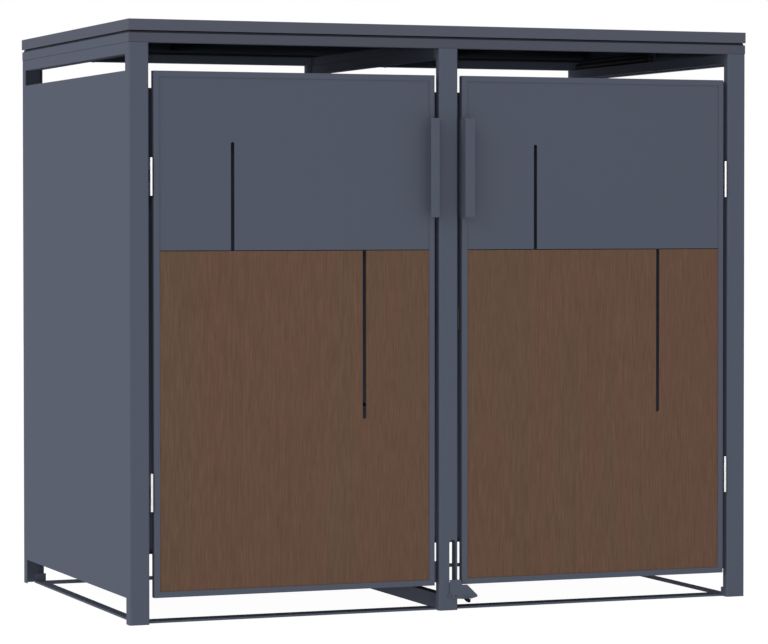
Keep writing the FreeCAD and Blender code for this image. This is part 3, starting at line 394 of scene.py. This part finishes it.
lid_axis_y, lid_axis_z = 0.4135, 1.1755
lid_roll, lid_roll_turn = 0.0029, 285
lid_leaf_sheet = 0.0012
bend_from_axis, neck_from_axis = 0.0045, 0.0014
lid_hinge_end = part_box("lid_hinge_pin")[1].x
lid_knuckles = 44
knuckle_pitch = 2 * lid_hinge_end / lid_knuckles
knuckle_gap = 0.0003
lid_screws = 12
lid_screw_radius = 0.0032
frame_leaf_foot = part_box("lid_hinge_frame_leaf")[0].z
lid_leaf_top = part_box("lid_hinge_lid_leaf")[1].z
frame_leaf_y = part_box("roof_frame_rear")[1].y + lid_leaf_sheet / 2
lid_leaf_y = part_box("lid_tray")[1].y + lid_leaf_sheet / 2
for name, body, node, leaf_y, edge, way, first in (
        ("lid_hinge_lower_leaf", "carcass", "lid_hinge_frame_leaf",
         frame_leaf_y, frame_leaf_foot, 1, 0),
        ("lid_hinge_upper_leaf", "lid", "lid_hinge_lid_leaf",
         lid_leaf_y, lid_leaf_top, -1, 1)):
    leaf = bmesh.new()
    bend = lid_axis_z - way * bend_from_axis
    rolled(leaf, [(leaf_y, edge), (leaf_y, bend)], lid_leaf_sheet, -lid_hinge_end, lid_hinge_end,
           lambda across, out, length: (length, across, out))
    neck = [(leaf_y, bend), (lid_axis_y - lid_roll, lid_axis_z - way * neck_from_axis)]
    roll_line = neck + curl(lid_axis_y, lid_axis_z, lid_roll, 180, 180 - way * lid_roll_turn)
    for index in range(first, lid_knuckles, 2):
        start = -lid_hinge_end + knuckle_pitch * index + knuckle_gap / 2
        rolled(leaf, roll_line, lid_leaf_sheet, start, start + knuckle_pitch - knuckle_gap,
               lambda across, out, length: (length, across, out))
    screw_z = (edge + bend) / 2
    for index in range(lid_screws):
        x = -lid_hinge_end + lid_hinge_end * (index + 0.5) / (lid_screws / 2)
        screw_head(leaf, (x, leaf_y + lid_leaf_sheet / 2, screw_z), (0, 1, 0), lid_screw_radius)
    fitted(name, leaf, body, "steel_coat", slate_coat, node)

plated, takes, gives = effect("plated_metal", ("Color", "Color", (0.68, 0.68, 0.68, 1)),
                              ("Drawn", "Vector", (900.0, 900.0, 60.0)), ("Tone", "Float", 0.16),
                              ("Roughness", "Float", 0.35), ("Depth", "Float", 0.00001))
place = lay(plated, "TexCoord").outputs["Object"]
along = lay(plated, "VectorMath", {0: place, 1: takes["Drawn"]}, operation="MULTIPLY")
lines = lay(plated, "TexNoise", {"Vector": along.outputs[0], "Scale": 1.0, "Detail": 3.0})
spangle = lay(plated, "TexNoise", {"Vector": place, "Scale": 70.0, "Detail": 2.0})
mixed = lay(plated, "Math", {0: spangle.outputs[0], 1: 1.0, 2: lines.outputs[0]},
            operation="MULTIPLY_ADD")
centred = lay(plated, "Math", {0: mixed.outputs[0], 1: 1.0}, operation="SUBTRACT").outputs[0]
plated.links.new(toned(plated, takes["Color"], centred, takes["Tone"]), gives["Color"])
dulled = lay(plated, "Math", {0: centred, 1: 0.25, 2: takes["Roughness"]}, operation="MULTIPLY_ADD")
plated.links.new(dulled.outputs[0], gives["Roughness"])
relief = lay(plated, "Bump", {"Strength": 0.4, "Distance": takes["Depth"],
                              "Height": lines.outputs[0]})
plated.links.new(relief.outputs[0], gives["Normal"])
bright_zinc = finished("bright_zinc", plated, {"Color": (0.68, 0.68, 0.68, 1)}, Metallic=1.0)

lid_pin_radius = 0.0017
pin = bmesh.new()
pin_ends = [(0, 0), (lid_pin_radius - 0.0005, 0), (lid_pin_radius, 0.0005)]
pin_length = 2 * lid_hinge_end
turned(pin, pin_ends + [(radius, pin_length - distance) for radius, distance in reversed(pin_ends)],
       (-lid_hinge_end, lid_axis_y, lid_axis_z), (1, 0, 0))
fitted("lid_hinge_wire", pin, "carcass", "zinc", bright_zinc, "lid_hinge_pin")

# Gas springs. A black lacquered tube with a crimped end turns on a stud of the roof frame, and a
# nitrided rod slides out of it to an eye beside the lid's bracket. The rod's near-black colour is
# partly its nitrided finish and partly painted shade.
black_lacquer = finished("black_lacquer", powder_coat,
                         {"Color": (0.015, 0.015, 0.016, 1), "Grain": 400.0, "Tone": 0.2,
                          "Roughness": 0.55, "Depth": 0.00001}, Specular_IOR_Level=0.03)
# Painted shade in part: the rod is darker than a nitrided rod, standing for the shade inside the
# store.
shaded_rod_finish = finished("nitrided_rod_painted_shade", plated,
                    {"Color": (0.03, 0.03, 0.034, 1), "Drawn": (2200.0, 200.0, 2200.0),
                     "Tone": 0.3, "Roughness": 0.55}, Specular_IOR_Level=0.03)
spring_x = 0.6505
stud_y, stud_z = 0.3795, 1.1615
lid_eye_y, lid_eye_z = -0.0165, 1.1619
spring_way = (Vector((0, lid_eye_y, lid_eye_z)) - Vector((0, stud_y, stud_z))).normalized()
spring_length = math.hypot(lid_eye_y - stud_y, lid_eye_z - stud_z)
tube_radius, rod_radius, eye_radius, eye_half, eye_bore = 0.007, 0.003, 0.006, 0.003, 0.0031
rod_shown = 0.020
tube_front = spring_length - rod_shown
tube_wall = [(0.0038, 0.0086), (0.0060, 0.0086), (0.0068, 0.0095), (tube_radius, 0.0105),
             (tube_radius, tube_front - 0.0085), (0.0063, tube_front - 0.0078),
             (0.0063, tube_front - 0.0066), (tube_radius, tube_front - 0.0059),
             (tube_radius, tube_front - 0.0014), (0.0058, tube_front), (0.0033, tube_front),
             (0.0033, 0.016), (0.0038, 0.016)]
eye_edge = 0.0006
eye_ring = [(eye_bore, -eye_half), (eye_radius - eye_edge, -eye_half),
            (eye_radius, eye_edge - eye_half), (eye_radius, eye_half - eye_edge),
            (eye_radius - eye_edge, eye_half), (eye_bore, eye_half)]
eye_neck = [(0, 0.0048), (0.0032, 0.0048), (0.0032, 0.0088), (0, 0.0088)]
rod_end = spring_length - 0.0052
rod_bar = [(0, 0.0165), (rod_radius - 0.0004, 0.0165), (rod_radius, 0.0169), (rod_radius, rod_end),
           (0, rod_end)]
for side, name in ((-1, "left"), (1, "right")):
    stud = Vector((side * spring_x, stud_y, stud_z))
    tube = bmesh.new()
    turned(tube, tube_wall, stud, spring_way, steps=32, closed=True)
    turned(tube, eye_ring, stud, (1, 0, 0), steps=32, closed=True)
    turned(tube, eye_neck, stud, spring_way)
    fitted(name + "_spring_tube_crimped", tube, name + "_spring_tube", "spring_black",
           black_lacquer, name + "_gas_spring_cylinder")
    rod = bmesh.new()
    turned(rod, rod_bar, stud, spring_way)
    turned(rod, eye_ring, stud + spring_way * spring_length, (1, 0, 0), steps=32, closed=True)
    fitted(name + "_spring_rod_eyed", rod, name + "_spring_rod", "rod_black", shaded_rod_finish,
           name + "_gas_spring_rod")
finish_node(slate_coat, "gas_spring_brackets", "lid_brackets")

# Door frames and upper panels. The frame is a folded tray whose narrow lip shows round the door,
# and the grey panel lies behind the lip. A slot is cut up from the panel's lower edge.
upper_coat = finished("upper_panel_coat", powder_coat, {"Color": slate, "Roughness": 0.7},
                      Specular_IOR_Level=0.04)
for name in ("left", "right"):
    finish_node(slate_coat, name + "_door_frame")
    finish_node(upper_coat, name + "_door_upper_panel")

# Lower panels. Sheet steel with a printed walnut decor: upright streaks in two browns, broad
# soft bands and fine dark pores under a satin lacquer.
walnut, takes, gives = effect("walnut_print", ("Light", "Color", (0.1325, 0.0748, 0.0482, 1)),
                              ("Dark", "Color", (0.098, 0.0536, 0.0344, 1)),
                              ("Olive", "Color", (0.90, 1.0, 0.97, 1)), ("Bands", "Float", 0.12),
                              ("Roughness", "Float", 0.42), ("Depth", "Float", 0.00002))
place = lay(walnut, "TexCoord").outputs["Object"]
sway = lay(walnut, "TexNoise", {"Vector": place, "Scale": 2.2, "Detail": 1.0})
swayed = lay(walnut, "VectorMath", {0: sway.outputs["Color"], 1: (0.006, 0.006, 0.0), 2: place},
             operation="MULTIPLY_ADD").outputs[0]
upright = lay(walnut, "VectorMath", {0: swayed, 1: (1.0, 1.0, 0.055)},
              operation="MULTIPLY").outputs[0]
broad = lay(walnut, "TexNoise", {"Vector": upright, "Scale": 14.0, "Detail": 1.0})
streaks = lay(walnut, "TexNoise", {"Vector": upright, "Scale": 330.0, "Detail": 3.0,
                                   "Roughness": 0.6})
long_way = lay(walnut, "VectorMath", {0: swayed, 1: (1.0, 1.0, 0.02)},
               operation="MULTIPLY").outputs[0]
pores = lay(walnut, "TexNoise", {"Vector": long_way, "Scale": 1500.0, "Detail": 1.0})
pore_marks = lay(walnut, "MapRange", {"Value": pores.outputs[0], "From Min": 0.36, "From Max": 0.30,
                                      "To Min": 0.0, "To Max": 1.0})
grain = lay(walnut, "MapRange", {"Value": streaks.outputs[0], "From Min": 0.3, "From Max": 0.7,
                                 "To Min": 0.0, "To Max": 1.0})
share_in, under_in, over_in, colour_out = 0, 6, 7, 2
print_tone = lay(walnut, "Mix", {share_in: grain.outputs[0], under_in: takes["Dark"],
                                 over_in: takes["Light"]}, data_type="RGBA").outputs[colour_out]
mottle = lay(walnut, "TexNoise", {"Vector": swayed, "Scale": 38.0, "Detail": 2.0})
uneven = lay(walnut, "Math", {0: mottle.outputs[0], 1: 0.6, 2: broad.outputs[0]},
             operation="MULTIPLY_ADD")
banded = lay(walnut, "Math", {0: uneven.outputs[0], 1: 0.8}, operation="SUBTRACT")
zones = lay(walnut, "MapRange", {"Value": broad.outputs[0], "From Min": 0.5, "From Max": 0.6,
                                 "To Min": 0.0, "To Max": 0.7})
hued = lay(walnut, "Mix", {share_in: zones.outputs[0], under_in: print_tone,
                           over_in: takes["Olive"]},
           data_type="RGBA", blend_type="MULTIPLY").outputs[colour_out]
even = toned(walnut, hued, banded.outputs[0], takes["Bands"])
pored = lay(walnut, "Mix", {share_in: pore_marks.outputs[0], under_in: even,
                            over_in: takes["Dark"]}, data_type="RGBA").outputs[colour_out]
walnut.links.new(pored, gives["Color"])
dulled = lay(walnut, "Math", {0: pore_marks.outputs[0], 1: 0.12, 2: takes["Roughness"]},
             operation="MULTIPLY_ADD")
walnut.links.new(dulled.outputs[0], gives["Roughness"])
relief = lay(walnut, "Bump", {"Strength": 0.5, "Distance": takes["Depth"],
                              "Height": pore_marks.outputs[0]}, invert=True)
walnut.links.new(relief.outputs[0], gives["Normal"])
walnut_decor = finished("walnut_decor", walnut, {}, Specular_IOR_Level=0.1)
finish_node(walnut_decor, "left_door_lower_panel", "right_door_lower_panel")

# Slot plug. A black rubber plug is pressed into the left door's lower slot, a little above its
# end, with its head just below the panel's face.
slot_x = -0.184
plug_z = 0.4275
panel_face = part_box("left_door_lower_panel")[0].y
plug_form = [(0, 0.005), (0.0030, 0.005), (0.0037, 0.0043), (0.0037, 0.0012), (0.0033, 0.0006),
             (0.0018, 0.0003), (0, 0.0002)]
plug = bmesh.new()
turned(plug, plug_form, (slot_x, panel_face, plug_z), (0, 1, 0))
# The plug's near-zero black is partly its black rubber and partly painted shade of the slot it sits
# in.
plug_shade_black = (0.003, 0.003, 0.003, 1)
plug_rubber = finished("plug_rubber", moulded, {"Color": plug_shade_black, "Roughness": 0.9},
                       Specular_IOR_Level=0.0)
fitted("left_slot_plug", plug, "left_door", "rubber", plug_rubber)

# Door braces and handles. A channel across the back stiffens each door, and the handle is a bent
# angle on the door's free edge. Both wear the slate coat.
for name in ("left", "right"):
    finish_node(slate_coat, name + "_door_brace", name + "_door_handle")

# Door hinges. Butt hinges in the gap beside the outer posts. Their leaves are coated with the
# door and post, and their rolled barrels stay bright zinc round a riveted pin.
hinge_x, hinge_y = 0.6355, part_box("left_door_frame")[0].y
barrel_radius, barrel_bore = 0.0028, 0.0016
roll_sheet = barrel_radius - barrel_bore
roll_radius = (barrel_radius + barrel_bore) / 2
roll_turn = 325
barrel_third = 0.076 / 3
barrel_gap = 0.0003
barrel_feet = (0.224, 0.8508)
seat_from_pin, turn_from_pin = 0.0044, 0.0075
leaf_end_y = -0.3945
leaf_screw_shares = (0.2, 0.5, 0.8)
leaf_screw_y = leaf_end_y - 0.0035
leaf_screw_radius = 0.0024
pin_form = [(0, 0), (0.0011, 0.0001), (0.0015, 0.0006), (0.0015, 0.0754), (0.0011, 0.0759),
            (0, 0.076)]
for side, name in ((-1, "left"), (1, "right")):
    for kind, body, seat_way, spans, node in (
            ("post", "carcass", 1, ((0, 1), (2, 3)), name + "_hinge_post_leaves"),
            ("door", name + "_door", -1, ((1, 2),), name + "_hinge_door_leaves")):
        leaves, rolls = bmesh.new(), bmesh.new()
        seat_x = hinge_x + seat_way * seat_from_pin
        turn_y = hinge_y + turn_from_pin

        def at(across, out, length):
            return (side * across, out, length)

        flat = [(seat_x, leaf_end_y), (seat_x, turn_y)]
        neck = [(seat_x, turn_y), (seat_x - seat_way * 0.0008, turn_y - 0.0014),
                (hinge_x + seat_way * 0.0006, hinge_y + roll_radius + 0.0004),
                (hinge_x, hinge_y + roll_radius)]
        bend = curl(hinge_x, hinge_y, roll_radius, 90, 90 + seat_way * roll_turn, steps=28)
        screw_x = side * (seat_x - seat_way * roll_sheet / 2)
        for foot in barrel_feet:
            rolled(leaves, flat, roll_sheet, foot, foot + 3 * barrel_third, at)
            for low, high in spans:
                span = (foot + low * barrel_third + barrel_gap / 2,
                        foot + high * barrel_third - barrel_gap / 2)
                rolled(leaves, neck, roll_sheet, *span, at)
                rolled(rolls, bend, roll_sheet, *span, at)
            for share in leaf_screw_shares:
                head = (screw_x, leaf_screw_y, foot + 3 * barrel_third * share)
                screw_head(leaves, head, (-side * seat_way, 0, 0), leaf_screw_radius)
        fitted(f"{name}_{kind}_leaves_rolled", leaves, body, "steel_coat", slate_coat, node)
        fitted(f"{name}_{kind}_barrels", rolls, body, "zinc", bright_zinc)
    pins = bmesh.new()
    for foot in barrel_feet:
        turned(pins, pin_form, (side * hinge_x, hinge_y, foot), (0, 0, 1), steps=20)
    fitted(name + "_riveted_pins", pins, "carcass", "zinc", bright_zinc, name + "_hinge_pins")

# Magnetic catches. Angles inside the middle post carry black plastic magnet cases with two steel
# strips in the face, and a coated steel plate on each door meets them.
finish_node(slate_coat, "magnet_brackets", "left_keeper_plate", "right_keeper_plate")
magnet_case = finished("magnet_case", moulded,
                       {"Color": (0.03, 0.03, 0.03, 1), "Grain": 2400.0, "Roughness": 0.5,
                        "Tone": 0.15, "Depth": 0.00002})
case_low, case_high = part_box("door_magnets")


def block(shape, low, high, soften, segments=2):
    """A block between two corners with its edges rounded."""
    made = bmesh.ops.create_cube(shape, size=1)["verts"]
    for corner in made:
        for axis in range(3):
            corner.co[axis] = high[axis] if corner.co[axis] > 0 else low[axis]
    edges = {edge for corner in made for edge in corner.link_edges}
    bmesh.ops.bevel(shape, geom=list(edges), offset=soften, segments=segments, profile=0.5,
                    affect="EDGES")


case_near, case_far, case_round = 0.0285, 0.0415, 0.0012
strip_half, strip_deep, strip_short, strip_proud = 0.001, 0.003, 0.004, 0.0004
strip_round = 0.0003
strips, cases = bmesh.new(), bmesh.new()
for side in (-1, 1):
    inner, outer = sorted((side * case_near, side * case_far))
    block(cases, (inner, case_low.y + strip_proud, case_low.z),
          (outer, case_high.y, case_high.z), case_round)
    for share in (0.3, 0.7):
        middle = inner + (outer - inner) * share
        block(strips, (middle - strip_half, case_low.y, case_low.z + strip_short),
              (middle + strip_half, case_low.y + strip_deep, case_high.z - strip_short),
              strip_round, segments=1)
fitted("magnet_cases", cases, "carcass", "magnet", magnet_case, "door_magnets")
fitted("magnet_strips", strips, "carcass", "zinc", bright_zinc)

# Door stop. A small coated steel tab is welded behind the middle post's left flange, just above
# the door's lower edge, so that the left door can't be pushed in.
stop_low, stop_high = (-0.0345, -0.3904, 0.0565), (-0.0187, -0.3884, 0.1005)
stop_round = 0.0005
stop = bmesh.new()
block(stop, stop_low, stop_high, stop_round, segments=1)
fitted("left_door_stop", stop, "carcass", "steel_coat", slate_coat)

# Foot bolt. A coated steel plate with a pointed nose slides up the middle post on two hollow
# rivets, with a backing plate inside the post and a ribbed rubber pad for the toe.
finish_node(slate_coat, "foot_bolt_plate", "foot_bolt_backing")
rivet_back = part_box("foot_bolt_rivets")[1].y
rivet_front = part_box("foot_bolt_rivets")[0].y
plate_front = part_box("foot_bolt_plate")[0].y
rivet_dome = plate_front - rivet_front
rivet_tail = plate_front - rivet_back
rivet_places, rivet_height = (0.0041, 0.0145), 0.0297
rivet_form = [(0, -0.0030), (0.0015, -0.0030), (0.0015, rivet_dome * 0.9), (0.0019, rivet_dome),
              (0.0030, rivet_dome * 0.82), (0.0041, rivet_dome * 0.5), (0.0048, rivet_dome * 0.08),
              (0.0049, -0.0002), (0.0019, -0.0002), (0.0019, rivet_tail + 0.001),
              (0.0026, rivet_tail + 0.0008), (0.0022, rivet_tail), (0, rivet_tail)]
rivets = bmesh.new()
for x in rivet_places:
    turned(rivets, rivet_form, (x, plate_front, rivet_height), (0, -1, 0))
fitted("foot_bolt_domed_rivets", rivets, "foot_bolt", "steel_coat", slate_coat, "foot_bolt_rivets")

pad_low, pad_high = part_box("foot_bolt_toe_pad")
pad_outline = [(pad_low.x, pad_high.z), (pad_low.x + 0.0055, pad_low.z + 0.0004),
               (pad_low.x + 0.0063, pad_low.z), (pad_high.x - 0.0016, pad_low.z),
               (pad_high.x - 0.0008, pad_low.z + 0.0008), (pad_high.x, pad_high.z)]
pad = bmesh.new()
pad_ribs = 6
rib_pitch = (pad_high.y - pad_low.y) / pad_ribs
groove = 0.0005
sections = []
for rib in range(pad_ribs):
    for share_along, sunk in ((0.06, 0.0), (0.62, 0.0), (0.7, groove), (0.98, groove)):
        y = pad_low.y + rib_pitch * (rib + share_along)
        sections.append([pad.verts.new((x, y, z + (sunk if z < pad_high.z - 0.001 else 0)))
                         for x, z in pad_outline])
for first, second in zip(sections, sections[1:]):
    for index in range(len(pad_outline)):
        after = (index + 1) % len(pad_outline)
        pad.faces.new((first[index], first[after], second[after], second[index]))
pad.faces.new(sections[0])
pad.faces.new(sections[-1])
toe_black = (0.007, 0.007, 0.008, 1)
toe_rubber = finished("toe_rubber", moulded, {"Color": toe_black, "Roughness": 0.8},
                      Specular_IOR_Level=0.05)
fitted("ribbed_toe_pad", pad, "foot_bolt", "rubber", toe_rubber, "foot_bolt_toe_pad")
